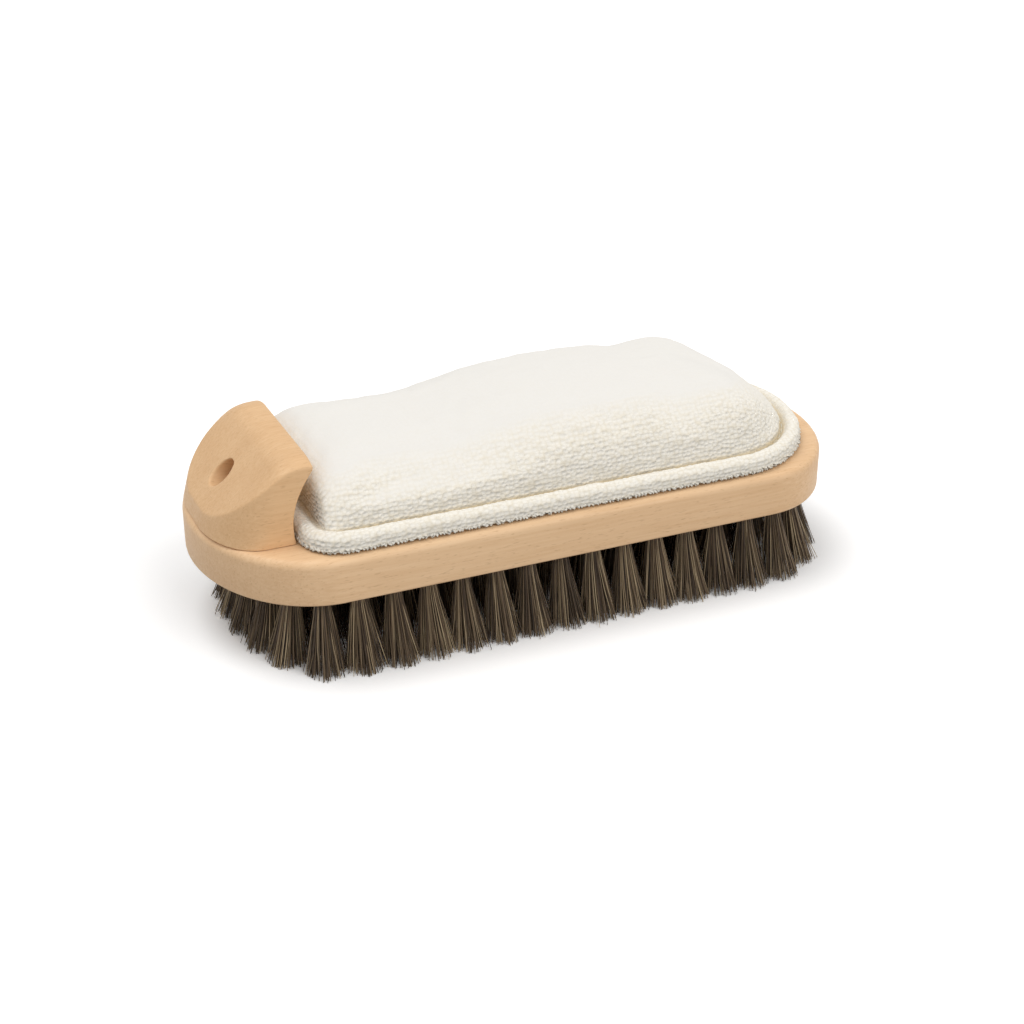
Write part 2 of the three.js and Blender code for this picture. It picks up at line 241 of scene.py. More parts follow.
def makeStage(look):
    bm = bmesh.new()
    bmesh.ops.create_grid(bm, x_segments=1, y_segments=1, size=look["floorSize"])
    floor = linkBmesh("studioFloor", bm)
    material = bpy.data.materials.new("studioFloor")
    material.use_nodes = True
    nodes, links = material.node_tree.nodes, material.node_tree.links
    nodes.clear()
    output = nodes.new("ShaderNodeOutputMaterial")
    diffuse = nodes.new("ShaderNodeBsdfDiffuse")
    path = nodes.new("ShaderNodeLightPath")
    seen = addMath(nodes, "MAXIMUM")
    shown = addMath(nodes, "MAXIMUM")
    paper = addMix(nodes)
    paper.inputs[mixA].default_value = look["floorColor"]
    paper.inputs[mixB].default_value = look["floorShown"]
    links.new(path.outputs["Is Camera Ray"], seen.inputs[0])
    links.new(path.outputs["Is Glossy Ray"], seen.inputs[1])
    links.new(seen.outputs[0], shown.inputs[0])
    links.new(path.outputs["Is Transmission Ray"], shown.inputs[1])
    links.new(shown.outputs[0], paper.inputs["Factor"])
    links.new(paper.outputs[mixOut], diffuse.inputs["Color"])
    links.new(diffuse.outputs[0], output.inputs["Surface"])
    floor.data.materials.append(material)

    world = bpy.data.worlds.new("studioWorld")
    world.use_nodes = True
    scene.world = world
    nodes, links = world.node_tree.nodes, world.node_tree.links
    background = nodes["Background"]
    background.inputs["Color"].default_value = (1, 1, 1, 1)
    path = nodes.new("ShaderNodeLightPath")
    level = nodes.new("ShaderNodeMapRange")
    level.inputs["To Min"].default_value = look["worldStrength"]
    level.inputs["To Max"].default_value = look["worldShown"]
    links.new(path.outputs["Is Camera Ray"], level.inputs["Value"])
    links.new(level.outputs[0], background.inputs["Strength"])

    addLamp("keyLamp", look["keyFrom"], look["keySpread"], look["keyStrength"])
    addLamp("fillLamp", look["fillFrom"], look["fillSpread"], look["fillStrength"])


makeStage(stageLook)
print("stage and lamps set")

# Materials

beechLook = {
    "light": (0.86, 0.59, 0.35, 1),
    "dark": (0.74, 0.47, 0.255, 1),
    "fleck": (0.48, 0.27, 0.13, 1),
    "bands": ((7, 110, 110), 2, 0.3, 0.7),  # scale to the metre, detail, and the noise's range that shows
    "streaks": ((60, 1500, 1500), 3, 0.3, 0.72),
    "flecks": ((450, 3100, 3100), 1, 0.62, 0.76),
    "streakShare": 0.55,
    "fleckShare": 0.42,
    "roughness": (0.44, 0.62),  # off and on the streaks
    "specular": 0.35,
    "bump": 0.12,
    "bumpDepth": 0.0002,  # m
}
hairLook = {
    "stops": (
        (0.0, (0.018, 0.011, 0.006, 1)),
        (0.4, (0.077, 0.049, 0.028, 1)),
        (0.75, (0.225, 0.155, 0.09, 1)),
        (1.0, (0.58, 0.45, 0.275, 1)),
    ),
    "roughness": 0.45,
    "specular": 0.4,
}
terryLook = {
    "flat": (0.81, 0.786, 0.744, 1),  # on top, where the loops lie flat; the walls get the brighter colour below as painted light
    "pile": (0.935, 0.884, 0.782, 1),  # painted light: brighter and warmer where the loops stand, on the walls, which get less light
    "shade": (0.79, 0.71, 0.565, 1),  # painted shade in the hollows between them
    # painted shade along the sewn groove
    "seam": (0.70, 0.57, 0.36, 1),
    "roughness": 0.95,
    "specular": 0.15,
    "sheen": 0.2,
    "sheenRoughness": 0.6,
    "knobs": (760, 950, 950),  # to the metre
    "disorder": 0.55,  # below 1, so that the knobs keep in rows
    "gaps": (0.35, 0.85),  # how far out on a knob the shade starts and is full
    "bumpDepth": 0.0005,  # m
    "pileUp": 0.9,  # how far the loops turn upwards to the light
}
weaveLook = {
    "detail": 2,
    "dark": 0.82,  # painted shade: share of the colour that the hollows keep
    "bump": 0.4,
    "bumpDepth": 0.0002,  # m
}


def newGroup(name, inputs, outputs):
    group = bpy.data.node_groups.new(name, "ShaderNodeTree")
    for label, kind, value in inputs:
        socket = group.interface.new_socket(label, in_out="INPUT", socket_type=kind)
        socket.default_value = value
    for label, kind in outputs:
        group.interface.new_socket(label, in_out="OUTPUT", socket_type=kind)
    return group, group.nodes.new("NodeGroupInput"), group.nodes.new("NodeGroupOutput")


def makeGrainGroup():  # wood grain that runs along X: broad bands, fine streaks, short dark flecks
    group, given, result = newGroup(
        "beechGrain",
        [
            ("Shift", "NodeSocketVector", (0, 0, 0)),
            ("Light", "NodeSocketColor", beechLook["light"]),
            ("Dark", "NodeSocketColor", beechLook["dark"]),
            ("Fleck", "NodeSocketColor", beechLook["fleck"]),
        ],
        [("Color", "NodeSocketColor"), ("Height", "NodeSocketFloat"), ("Roughness", "NodeSocketFloat")],
    )
    nodes, links = group.nodes, group.links
    place = nodes.new("ShaderNodeTexCoord")
    moved = nodes.new("ShaderNodeVectorMath")
    links.new(place.outputs["Object"], moved.inputs[0])
    links.new(given.outputs["Shift"], moved.inputs[1])

    def grain(scale, detail, low, high):
        stretch = nodes.new("ShaderNodeMapping")
        stretch.inputs["Scale"].default_value = scale
        cloud = nodes.new("ShaderNodeTexNoise")
        cloud.inputs["Scale"].default_value = 1
        cloud.inputs["Detail"].default_value = detail
        ramp = nodes.new("ShaderNodeMapRange")
        ramp.inputs["From Min"].default_value = low
        ramp.inputs["From Max"].default_value = high
        links.new(moved.outputs[0], stretch.inputs["Vector"])
        links.new(stretch.outputs[0], cloud.inputs["Vector"])
        links.new(cloud.outputs["Fac"], ramp.inputs["Value"])
        return ramp.outputs["Result"]

    bands = grain(*beechLook["bands"])
    streaks = grain(*beechLook["streaks"])
    flecks = grain(*beechLook["flecks"])
    tone = nodes.new("ShaderNodeMix")
    tone.inputs["Factor"].default_value = beechLook["streakShare"]
    links.new(bands, tone.inputs["A"])
    links.new(streaks, tone.inputs["B"])
    body = addMix(nodes)
    links.new(tone.outputs["Result"], body.inputs["Factor"])
    links.new(given.outputs["Light"], body.inputs[mixA])
    links.new(given.outputs["Dark"], body.inputs[mixB])
    fleckShare = addMath(nodes, "MULTIPLY")
    fleckShare.inputs[1].default_value = beechLook["fleckShare"]
    links.new(flecks, fleckShare.inputs[0])
    flecked = addMix(nodes)
    links.new(fleckShare.outputs[0], flecked.inputs["Factor"])
    links.new(body.outputs[mixOut], flecked.inputs[mixA])
    links.new(given.outputs["Fleck"], flecked.inputs[mixB])
    rough = nodes.new("ShaderNodeMapRange")
    rough.inputs["To Min"].default_value, rough.inputs["To Max"].default_value = beechLook["roughness"]
    links.new(streaks, rough.inputs["Value"])
    links.new(flecked.outputs[mixOut], result.inputs["Color"])
    links.new(streaks, result.inputs["Height"])
    links.new(rough.outputs[0], result.inputs["Roughness"])
    return group


def newMaterial(name):
    material = bpy.data.materials.new(name)
    material.use_nodes = True
    nodes, links = material.node_tree.nodes, material.node_tree.links
    return material, nodes, links, nodes["Principled BSDF"]


def makeBeech(name, shift, tint=(1, 1, 1)):
    material, nodes, links, shader = newMaterial(name)
    shader.inputs["Specular IOR Level"].default_value = beechLook["specular"]
    grain = nodes.new("ShaderNodeGroup")
    grain.node_tree = beechGrain
    grain.inputs["Shift"].default_value = shift
    for part in ("light", "dark", "fleck"):
        colour = [value * share for value, share in zip(beechLook[part], tint)]
        grain.inputs[part.capitalize()].default_value = (*colour, 1)
    bump = nodes.new("ShaderNodeBump")
    bump.inputs["Strength"].default_value = beechLook["bump"]
    bump.inputs["Distance"].default_value = beechLook["bumpDepth"]
    links.new(grain.outputs["Color"], shader.inputs["Base Color"])
    links.new(grain.outputs["Roughness"], shader.inputs["Roughness"])
    links.new(grain.outputs["Height"], bump.inputs["Height"])
    links.new(bump.outputs[0], shader.inputs["Normal"])
    return material


def makeHair():
    material, nodes, links, shader = newMaterial("darkHair")
    shader.inputs["Roughness"].default_value = hairLook["roughness"]
    shader.inputs["Specular IOR Level"].default_value = hairLook["specular"]
    tone = nodes.new("ShaderNodeAttribute")
    tone.attribute_name = "hairTone"
    ramp = nodes.new("ShaderNodeValToRGB")
    stops = hairLook["stops"]
    ramp.color_ramp.elements[0].position, ramp.color_ramp.elements[0].color = stops[0]
    ramp.color_ramp.elements[1].position, ramp.color_ramp.elements[1].color = stops[-1]
    for position, colour in stops[1:-1]:
        ramp.color_ramp.elements.new(position).color = colour
    links.new(tone.outputs["Fac"], ramp.inputs["Fac"])
    links.new(ramp.outputs["Color"], shader.inputs["Base Color"])
    return material


def makeTerry(name):
    material, nodes, links, shader = newMaterial(name)
    shader.inputs["Roughness"].default_value = terryLook["roughness"]
    shader.inputs["Specular IOR Level"].default_value = terryLook["specular"]
    shader.inputs["Sheen Weight"].default_value = terryLook["sheen"]
    shader.inputs["Sheen Roughness"].default_value = terryLook["sheenRoughness"]
    place = nodes.new("ShaderNodeTexCoord")
    stretch = nodes.new("ShaderNodeMapping")
    stretch.inputs["Scale"].default_value = terryLook["knobs"]
    knobs = nodes.new("ShaderNodeTexVoronoi")
    knobs.inputs["Scale"].default_value = 1
    knobs.inputs["Randomness"].default_value = terryLook["disorder"]
    gaps = nodes.new("ShaderNodeMapRange")
    gaps.inputs["From Min"].default_value, gaps.inputs["From Max"].default_value = terryLook["gaps"]
    steep = nodes.new("ShaderNodeAttribute")
    steep.attribute_name = "pilePaintedLight"
    # painted shade: the hollows between the knobs are darker and browner, on the steep parts
    share = addMath(nodes, "MULTIPLY")
    pile = addMix(nodes)
    pile.inputs[mixB].default_value = terryLook["shade"]
    # painted light: the steep walls get a brighter, warmer colour than the top
    paintedWallLight = addMix(nodes)
    paintedWallLight.inputs[mixA].default_value = terryLook["flat"]
    paintedWallLight.inputs[mixB].default_value = terryLook["pile"]
    seam = nodes.new("ShaderNodeAttribute")
    seam.attribute_name = "seamTone"
    # painted shade: the sewn groove is coloured darker and browner
    grooveShade = addMix(nodes)
    grooveShade.inputs[mixB].default_value = terryLook["seam"]
    facing = nodes.new("ShaderNodeNewGeometry")
    lifted = nodes.new("ShaderNodeVectorMath")
    lifted.inputs[1].default_value = (0, 0, terryLook["pileUp"])
    level = nodes.new("ShaderNodeVectorMath")
    level.operation = "NORMALIZE"
    bump = nodes.new("ShaderNodeBump")
    bump.invert = True
    bump.inputs["Distance"].default_value = terryLook["bumpDepth"]
    links.new(place.outputs["Object"], stretch.inputs["Vector"])
    links.new(stretch.outputs[0], knobs.inputs["Vector"])
    links.new(knobs.outputs["Distance"], gaps.inputs["Value"])
    links.new(gaps.outputs[0], share.inputs[0])
    links.new(steep.outputs["Fac"], share.inputs[1])
    links.new(steep.outputs["Fac"], paintedWallLight.inputs["Factor"])
    links.new(paintedWallLight.outputs[mixOut], pile.inputs[mixA])
    links.new(share.outputs[0], pile.inputs["Factor"])
    links.new(pile.outputs[mixOut], grooveShade.inputs[mixA])
    links.new(seam.outputs["Fac"], grooveShade.inputs["Factor"])
    links.new(grooveShade.outputs[mixOut], shader.inputs["Base Color"])
    links.new(facing.outputs["Normal"], lifted.inputs[0])
    links.new(lifted.outputs[0], level.inputs[0])
    links.new(level.outputs[0], bump.inputs["Normal"])
    links.new(steep.outputs["Fac"], bump.inputs["Strength"])
    links.new(knobs.outputs["Distance"], bump.inputs["Height"])
    links.new(bump.outputs[0], shader.inputs["Normal"])
    return material


def makeWeave(name, colour, scale, roughness):
    material, nodes, links, shader = newMaterial(name)
    shader.inputs["Roughness"].default_value = roughness
    place = nodes.new("ShaderNodeTexCoord")
    threads = nodes.new("ShaderNodeTexNoise")
    threads.inputs["Scale"].default_value = scale
    threads.inputs["Detail"].default_value = weaveLook["detail"]
    # painted shade: darker where the bump is lowest
    mixed = addMix(nodes)
    mixed.inputs[mixA].default_value = (*[value * weaveLook["dark"] for value in colour], 1)
    mixed.inputs[mixB].default_value = (*colour, 1)
    bump = nodes.new("ShaderNodeBump")
    bump.inputs["Strength"].default_value = weaveLook["bump"]
    bump.inputs["Distance"].default_value = weaveLook["bumpDepth"]
    links.new(place.outputs["Object"], threads.inputs["Vector"])
    links.new(threads.outputs["Fac"], mixed.inputs["Factor"])
    links.new(mixed.outputs[mixOut], shader.inputs["Base Color"])
    links.new(threads.outputs["Fac"], bump.inputs["Height"])
    links.new(bump.outputs[0], shader.inputs["Normal"])
    return material


beechGrain = makeGrainGroup()
blockBeech = makeBeech("blockBeech", shift=(0.31, 0.07, 0.02))
# painted shade: the nose's beech is made darker and browner than the block's, to stand in for the shade on its
# side
noseBeech = makeBeech("noseBeech", shift=(0.83, 0.41, 0.26), tint=(0.94, 0.9, 0.83))
dowelBeech = makeBeech("dowelBeech", shift=(0.12, 0.53, 0.44), tint=(0.94, 0.94, 0.94))
darkHair = makeHair()
creamTerry = makeTerry("creamTerry")
seamThread = makeWeave("seamThread", colour=(0.80, 0.74, 0.60), scale=2500, roughness=0.85)
hookTape = makeWeave("hookTape", colour=(0.83, 0.80, 0.73), scale=1800, roughness=0.8)
print("materials made")

# Beech block

blockShape = {
    "endDepth": 29.4,  # mm, length of each rounded end
    "outlineSteps": 128,
    "topRound": 2.1,
    "topSteps": 6,
    "bottomRound": 0.7,
    "bottomSteps": 4,
    "flatInset": 0.4,  # keeps the flat faces flat in shading
}


def buildBlock(shape):
    low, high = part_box("brush_body")
    halfLength, halfWidth = high.x, high.y
    depth = shape["endDepth"] * mm
    bm = bmesh.new()
    ring = unitRing(bm, shape["outlineSteps"])
    bmesh.ops.scale(bm, verts=ring, vec=(depth, halfWidth, 1))
    for vert in ring:  # the two half rounds move out to the ends
        vert.co.x += math.copysign(halfLength - depth, vert.co.x)
        vert.co.z = low.z
    extrude(bm, (0, 0, high.z - low.z))
    middle = (low.z + high.z) / 2
    level = [edge for edge in bm.edges if abs(edge.verts[0].co.z - edge.verts[1].co.z) < tiny]
    for side, size, steps in ((1, "topRound", "topSteps"), (-1, "bottomRound", "bottomSteps")):
        edges = [edge for edge in level if edge.is_valid and (edge.verts[0].co.z - middle) * side > 0]
        roundEdges(bm, edges, shape[size], shape[steps])
    wide = [face for face in bm.faces if len(face.verts) > capCorners]
    bmesh.ops.inset_individual(bm, faces=wide, thickness=shape["flatInset"] * mm)
    block = linkBmesh("beechBlock", bm)
    smoothShade(block.data)
    finishPiece(block, blockBeech, "brush", "beech", "brush_body")


buildBlock(blockShape)
print("block built")

# Hooked nose

noseShape = {
    "footX": -68.8,  # mm; the inner face starts here and hollows back
    "hollow": (-70.7, 41.0),
    "lipUnder": (-63.5, 50.9),
    "lipFront": (-62.1, 52.8),
    "lipTop": (-64.5, 52.8),
    "crest": (-69.5, 52.9),
    "slopeTop": (-72.6, 50.3),
    "slopeSag": (-80.7, 43.5),
    "slopeFoot": (-90.5, 33.8),
    "endDepth": 12.5,  # the end in plan is rounded over this length
    "endRound": 20.0,  # and over this width on each side
    "endLean": 5.2,  # how far the end leans back over the height of the nose
    "topWidth": 0.925,  # share of the foot's width
    "holeRadius": 3.8,
    "holeMouth": (-81.1, 0.0, 43.6),
    "holeFall": 20,  # degrees
    "grainSize": 0.3,  # remesh step
    "softening": 4,  # smoothing passes that round the edges
    "crestDrop": 1.3,  # the two ends of the crest are rounded down by this much
    "crestEnd": 7.0,  # over this width
    "bendSteps": (24, 10, 12, 24),  # points on the hollow, the lip, the crest and the slope
    "footSpare": 4,  # extra depth at the foot, cut off again once the edges are rounded
    "planSteps": 160,
    "planReach": (-0.3, 1.2),  # the plan is drawn from below the nose to above it, in shares of its height
    "holeSteps": 48,
    "holeLength": 80,
    "shadeAngle": 50,  # degrees
}


def bend(start, handle, end, steps):
    share = np.linspace(0, 1, steps + 1)[1:, None]
    start, handle, end = (np.array(point) for point in (start, handle, end))
    return (start * (1 - share) ** 2 + handle * 2 * share * (1 - share) + end * share**2).tolist()


def sideView(shape, below):
    foot = (shape["footX"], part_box("nose_grip")[0].z / mm)
    view = [(shape["footX"], below), foot]
    hollowSteps, lipSteps, crestSteps, slopeSteps = shape["bendSteps"]
    view += bend(foot, shape["hollow"], shape["lipUnder"], hollowSteps)
    view += bend(shape["lipUnder"], shape["lipFront"], shape["lipTop"], lipSteps)
    view += bend(shape["lipTop"], shape["crest"], shape["slopeTop"], crestSteps)
    view += bend(shape["slopeTop"], shape["slopeSag"], shape["slopeFoot"], slopeSteps)
    view += [(shape["slopeFoot"][0], below)]
    return view


def nosePlan(shape, low, high):  # round at the tip, square at the lip, leaning back
    bm = bmesh.new()
    ring = unitRing(bm, shape["planSteps"])
    depth, across = shape["endDepth"] * mm, shape["endRound"] * mm
    bmesh.ops.scale(bm, verts=ring, vec=(depth, across, 1))
    for vert in ring:
        vert.co.x = low.x + depth + (vert.co.x if vert.co.x < 0 else high.x - low.x)
        vert.co.y += math.copysign(high.y - across, vert.co.y)
        vert.co.z = low.z
    rise = Vector((shape["endLean"] * mm, 0, high.z - low.z))
    down, up = shape["planReach"]
    tops = extrude(bm, rise * up)
    bmesh.ops.translate(bm, verts=[vert for vert in bm.verts if vert not in tops], vec=rise * down)
    return linkBmesh("nosePlan", bm)


def noseHole(shape):
    bm = bmesh.new()
    radius = shape["holeRadius"] * mm
    bmesh.ops.create_cone(bm, cap_ends=True, segments=shape["holeSteps"], radius1=radius, radius2=radius,
                          depth=shape["holeLength"] * mm)
    fall = Matrix.Rotation(math.radians(90 + shape["holeFall"]), 4, "Y")
    bmesh.ops.transform(bm, verts=bm.verts, matrix=Matrix.Translation(Vector(shape["holeMouth"]) * mm) @ fall)
    return linkBmesh("noseHole", bm)


def buildNose(shape):
    low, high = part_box("nose_grip")
    below = low.z / mm - shape["footSpare"]
    bm = bmesh.new()
    bm.faces.new([bm.verts.new((x * mm, low.y, z * mm)) for x, z in sideView(shape, below)])
    extrude(bm, (0, high.y - low.y, 0))
    nose = linkBmesh("beechNose", bm)

    plan, hole = nosePlan(shape, low, high), noseHole(shape)
    for tool, operation in ((plan, "INTERSECT"), (hole, "DIFFERENCE")):
        cut = nose.modifiers.new(operation, "BOOLEAN")
        cut.object = tool
        cut.operation = operation
        cut.solver = "EXACT"
    remesh(nose, shape["grainSize"])
    bpy.data.objects.remove(plan)
    bpy.data.objects.remove(hole)

    bm = bmesh.new()
    bm.from_mesh(nose.data)
    soften(bm, shape["softening"])
    for vert in bm.verts:  # the sides lean in towards the top
        rise = max(vert.co.z - low.z, 0) / (high.z - low.z)
        outer = max((abs(vert.co.y) - high.y) / mm / shape["crestEnd"] + 1, 0)
        vert.co.y *= 1 + (shape["topWidth"] - 1) * rise
        vert.co.z -= shape["crestDrop"] * mm * (outer * rise) ** 2
    cutAway(bm, (0, 0, low.z), (0, 0, -1))
    bm.to_mesh(nose.data)
    bm.free()
    smoothShade(nose.data, shape["shadeAngle"])
    finishPiece(nose, noseBeech, "brush", "beech", "nose_grip")


buildNose(noseShape)
for node in ("nose_dowel_near", "nose_dowel_far"):
    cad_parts[node].data.materials.clear()
    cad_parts[node].data.materials.append(dowelBeech)
print("nose built")

# Hair tufts

tuftHair = {
    "edgeHairs": 220,  # in each tuft of the ring
    "innerHairs": 110,  # in each tuft of the inner rows
    "thickness": 0.115,  # mm, half the width of a hair
    "neckRadius": 1.65,
    "fullness": 0.45,  # below 0.5 the hairs crowd to the outside of a tuft
    "spread": 1.2,  # share of the tuft's width that the tips fill
    "tipReach": (0.82, 1.06),  # share of its own place that a tip gets to
    "bowed": 1.25,  # above 1 the hairs leave the neck straighter
    "strays": 0.07,  # share of hairs that stand off
    "strayReach": (1.1, 1.3),
    "flare": 1.8,  # mm, how far the tips at the sides reach out past the plain tufts
    "scatter": 0.3,  # mm, at the tips
    "bow": 0.2,  # mm, at half length
    "ragged": 0.5,  # mm, the shortest hairs end this far up
    "rooted": 1.5,  # mm, the hairs start this far up in the block
    "steps": (0.0, 0.3, 0.65, 1.0),  # points on a hair, as shares of its length
    "sizes": (0.75, 1.2),  # share of the thickness
    "tipSize": 0.75,
    "tone": (0.52, 0.23),  # mean and spread
    "toneEnds": (0.05, 0.9),
    "tuftShade": 0.06,  # how far one tuft's tone may be off
    "innerPaintedShade": 0.15,  # painted shade: how much darker the inner rows are, for the shade among the tufts
    "golden": 0.16,  # share of pale hairs
    "goldenTone": (0.8, 1.0),
    "neckBand": 0.5,  # mm, a solid tuft's points this near its top or the floor are its ends
    "tuftGap": 3.0,  # mm, wider gaps part two tufts of a row
    "seed": 11,
}


def tuftRuns(rng, neck, tip, tipRadius, count, hair, paintedShade):
    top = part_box("brush_body")[0].z
    runs, tones = [], []
    # painted shade: the hairs of the inner rows are all made darker
    tuftShade = rng.uniform(-hair["tuftShade"], hair["tuftShade"]) - paintedShade
    scatter, bowing = hair["scatter"], hair["bow"]
    for _ in range(count):
        angle = rng.uniform(0, math.tau)
        share = rng.random() ** hair["fullness"]
        heading = Vector((math.cos(angle), math.sin(angle), 0))
        start = neck + heading * share * hair["neckRadius"] * mm
        reach = share * hair["spread"] * rng.uniform(*hair["tipReach"])
        if rng.random() < hair["strays"]:
            reach *= rng.uniform(*hair["strayReach"])
        end = tip + heading * reach * tipRadius
        end += Vector((rng.gauss(0, scatter), rng.gauss(0, scatter), 0)) * mm
        end.z = rng.random() ** 3 * hair["ragged"] * mm  # cubed, so that most tips reach the floor
        bow = Vector((rng.gauss(0, bowing), rng.gauss(0, bowing), 0)) * mm
        points = [Vector((start.x, start.y, top + hair["rooted"] * mm))]
        for step in hair["steps"]:
            place = start.lerp(end, step**hair["bowed"]) + bow * math.sin(math.pi * step)
            place.z = top + (end.z - top) * step
            points.append(place)
        size = rng.uniform(*hair["sizes"])
        runs.append((points, [size] * len(hair["steps"]) + [size * hair["tipSize"]]))
        tone = clamp(rng.gauss(*hair["tone"]) + tuftShade, *hair["toneEnds"])
        tones.append(rng.uniform(*hair["goldenTone"]) - paintedShade if rng.random() < hair["golden"] else tone)
    return runs, tones


def neckPlaces(points, hair):  # one place for each tuft in a row, from the tops of its necks
    tops = points[points[:, 2] > points[:, 2].max() - hair["neckBand"] * mm]
    tops = tops[np.argsort(tops[:, 0])]
    breaks = np.flatnonzero(np.diff(tops[:, 0]) > hair["tuftGap"] * mm) + 1
    return [Vector(part.mean(0)) for part in np.split(tops, breaks)]


def buildTufts(hair):
    rng = random.Random(hair["seed"])
    total = 0
    for name in sorted(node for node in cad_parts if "tuft" in node):
        points = meshPoints(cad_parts[name].data)
        lowest = points[points[:, 2] < hair["neckBand"] * mm]
        necks = neckPlaces(points, hair)
        runs, tones = [], []
        if name.startswith("edge"):
            neck, tip = necks[0], Vector(lowest.mean(0))
            radius = np.linalg.norm(lowest - lowest.mean(0), axis=1).max()
            outwards = (tip - neck) * Vector((1, 1, 0))
            tip.y += outwards.normalized().y * hair["flare"] * mm
            runs, tones = tuftRuns(rng, neck, tip, radius, hair["edgeHairs"], hair, 0)
        else:
            radius = (necks[1] - necks[0]).x / 2
            for neck in necks:
                more, shades = tuftRuns(rng, neck, neck, radius, hair["innerHairs"], hair, hair["innerPaintedShade"])
                runs += more
                tones += shades
        mesh = curveMesh(name + "_hair", runs, hair["thickness"] * mm)
        setTone(mesh, "hairTone", np.repeat(tones, len(mesh.vertices) // len(runs)))
        mesh.shade_smooth()
        finishPiece(linkMesh(name + "_hair", mesh), darkHair, "brush", "dark_hair", name)
        total += len(runs)
    print("tufts built,", total, "hairs")


buildTufts(tuftHair)

# Hook tape on the block

tapeShape = {
    "hookPitch": 1.9,  # mm
    "hookPlace": (0.75, 0.5),  # of the first hook from the tape's corner, in pitches
    "rowShift": 0.25,  # every other row is moved by this share of the pitch
    "hookRadius": 0.13,
    "hook": (  # mm sideways, share of the height, thickness
        (0.0, 0.0, 1.2), (0.0, 0.7, 1.0), (0.25, 1.0, 1.0), (0.55, 0.75, 0.8),
    ),
    "hookFoot": 0.6,  # share of the backing that it stands above
    "backing": 0.5,  # thickness of the woven tape under the hooks
    "edgeRound": 0.15,
    "edgeSteps": 2,
}


def buildTape(name, shape):
    low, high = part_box(name)
    size, middle = high - low, (low + high) / 2
    backing = shape["backing"] * mm
    bm = bmesh.new()
    bmesh.ops.create_cube(bm, size=1)
    bmesh.ops.scale(bm, verts=bm.verts, vec=(size.x, size.y, backing))
    bmesh.ops.translate(bm, verts=bm.verts, vec=(middle.x, middle.y, low.z + backing / 2))
    roundEdges(bm, bm.edges[:], shape["edgeRound"], shape["edgeSteps"])
    pitch = shape["hookPitch"] * mm
    runs = []
    base = low.z + backing * shape["hookFoot"]
    tall = high.z - shape["hookRadius"] * mm - base
    firstX, firstY = shape["hookPlace"]
    for column in range(int(size.x / pitch)):
        for row in range(int(size.y / pitch)):
            x = low.x + (column + firstX) * pitch
            y = low.y + (row + firstY + shape["rowShift"] * (column % 2)) * pitch
            way = 1 if row % 2 else -1
            points = [(x + way * aside * mm, y, base + tall * up) for aside, up, _ in shape["hook"]]
            runs.append((points, [thick for _, _, thick in shape["hook"]]))
    hooks = curveMesh(name + "_hooks", runs, shape["hookRadius"] * mm)
    bm.from_mesh(hooks)
    bpy.data.meshes.remove(hooks)
    tape = linkBmesh(name + "_tape", bm)
    smoothShade(tape.data)
    finishPiece(tape, hookTape, "brush", "hook_tape", name)


for node in ("hook_strip_near", "hook_strip_far"):
    buildTape(node, tapeShape)
print("hook tape built")

# Terry pad

padShape = {
    "endDepth": 32,  # mm, length of the rounded far end
    "leastDepth": 0.5,  # of its innermost ring
    "corner": 10.5,  # radius of the two corners beside the nose
    "steps": (60, 64, 8, 12),  # points round the far end, along a side, round a corner and over half the near end
    "rimTop": 37.3,
    "rimCrest": 2.7,  # the rolled rim is highest this far in from the edge
    "rimWidth": 5.0,
    "rimRound": 2.6,
    "rimFoot": 1.0,  # rounding of the rim's lower edge
    "rimSteps": 5,
    "grooveFloor": 35.4,
    "crownInset": 5.2,  # the stuffing starts this far in from the edge, and swells
    "crownLow": 34.0,
    "crownFoot": 36.2,  # the crown rounds over from this height
    "shoulder": 14.0,  # how far it rounds in
    "shoulderSteps": 12,
    "topSteps": 5,  # rings on from the shoulder
    "topSlit": 0.5,  # the last ring stops this far from the middle
    "lean": 24,  # degrees that its foot leans in
    "noseCut": 3.2,  # the rounding is cut short by this much beside the nose
    "crownCorner": 6.5,  # least radius of its corners there
    "stuffing": (  # mm along the pad, and the crown's height there
        (-70, 52.4), (-56, 51.2), (-45, 50.5), (-28, 51.0), (-17, 52.5), (-3, 54.6),
        (12, 55.3), (31, 55.0), (37, 53.6), (41, 53.3), (46, 54.2), (53, 54.6),
        (60, 52.0), (67, 48.0), (70, 46.4), (74, 44.9), (84, 43.0),
    ),
    "stuffed": (-80, 100),  # the heights are worked out from here to here, at every millimetre
    "evened": 9,  # mm, they are smoothed over this length
    "simStep": 2.0,  # mm, remesh for the cloth
    "simFrames": 20,
    "sewnUp": 0.5,  # the cloth is held up to this far above the rim
    "pressure": 4.0,
    "stiffness": 15,
    "swellLimit": 1.2,
    "fineStep": 0.47,  # mm, remesh of the finished cover
    "softening": 4,  # smoothing passes
    "seamInset": 5.0,  # the sewn line, in from the edge
    "seamPoints": 1600,
    "seamDepth": 0.6,
    "seamWidth": 0.9,
    "seamBelow": 0.6,  # the seam is pressed in only this far below the rim's top
    "noseSeam": (66, 8, 0.3),  # shallow beside the nose: from this far back, over this length, at least this share
    "plainFoot": (0.5, 1.5),  # the lumps start this far above the underside, and grow over this height
    "lumps": 0.25,  # mm
    "lumpScales": (130, 290),  # to the metre
    "lumpShare": 0.6,  # of the finer ones
    "knobs": 0.28,  # mm, height of the terry's knobs
    "knobSize": 0.95,
    "knobLevel": 0.55,  # farther than this from its middle a knob goes inwards
    "rimPile": 1.0,  # all loops stand up to this far above the rim
    "lying": (0.92, 0.36, 0.1),  # on the crown: lying where the normal's z is this, standing this far below, least; this also sets the painted light on the walls
    # how strongly the walls get their painted light, the painted shade between the knobs and the knobs' bump
    "pilePaintedLight": 0.8,
    "split": 34.85,  # where the cover's top and base are sewn together
    "shadeAngle": 70,  # degrees
}


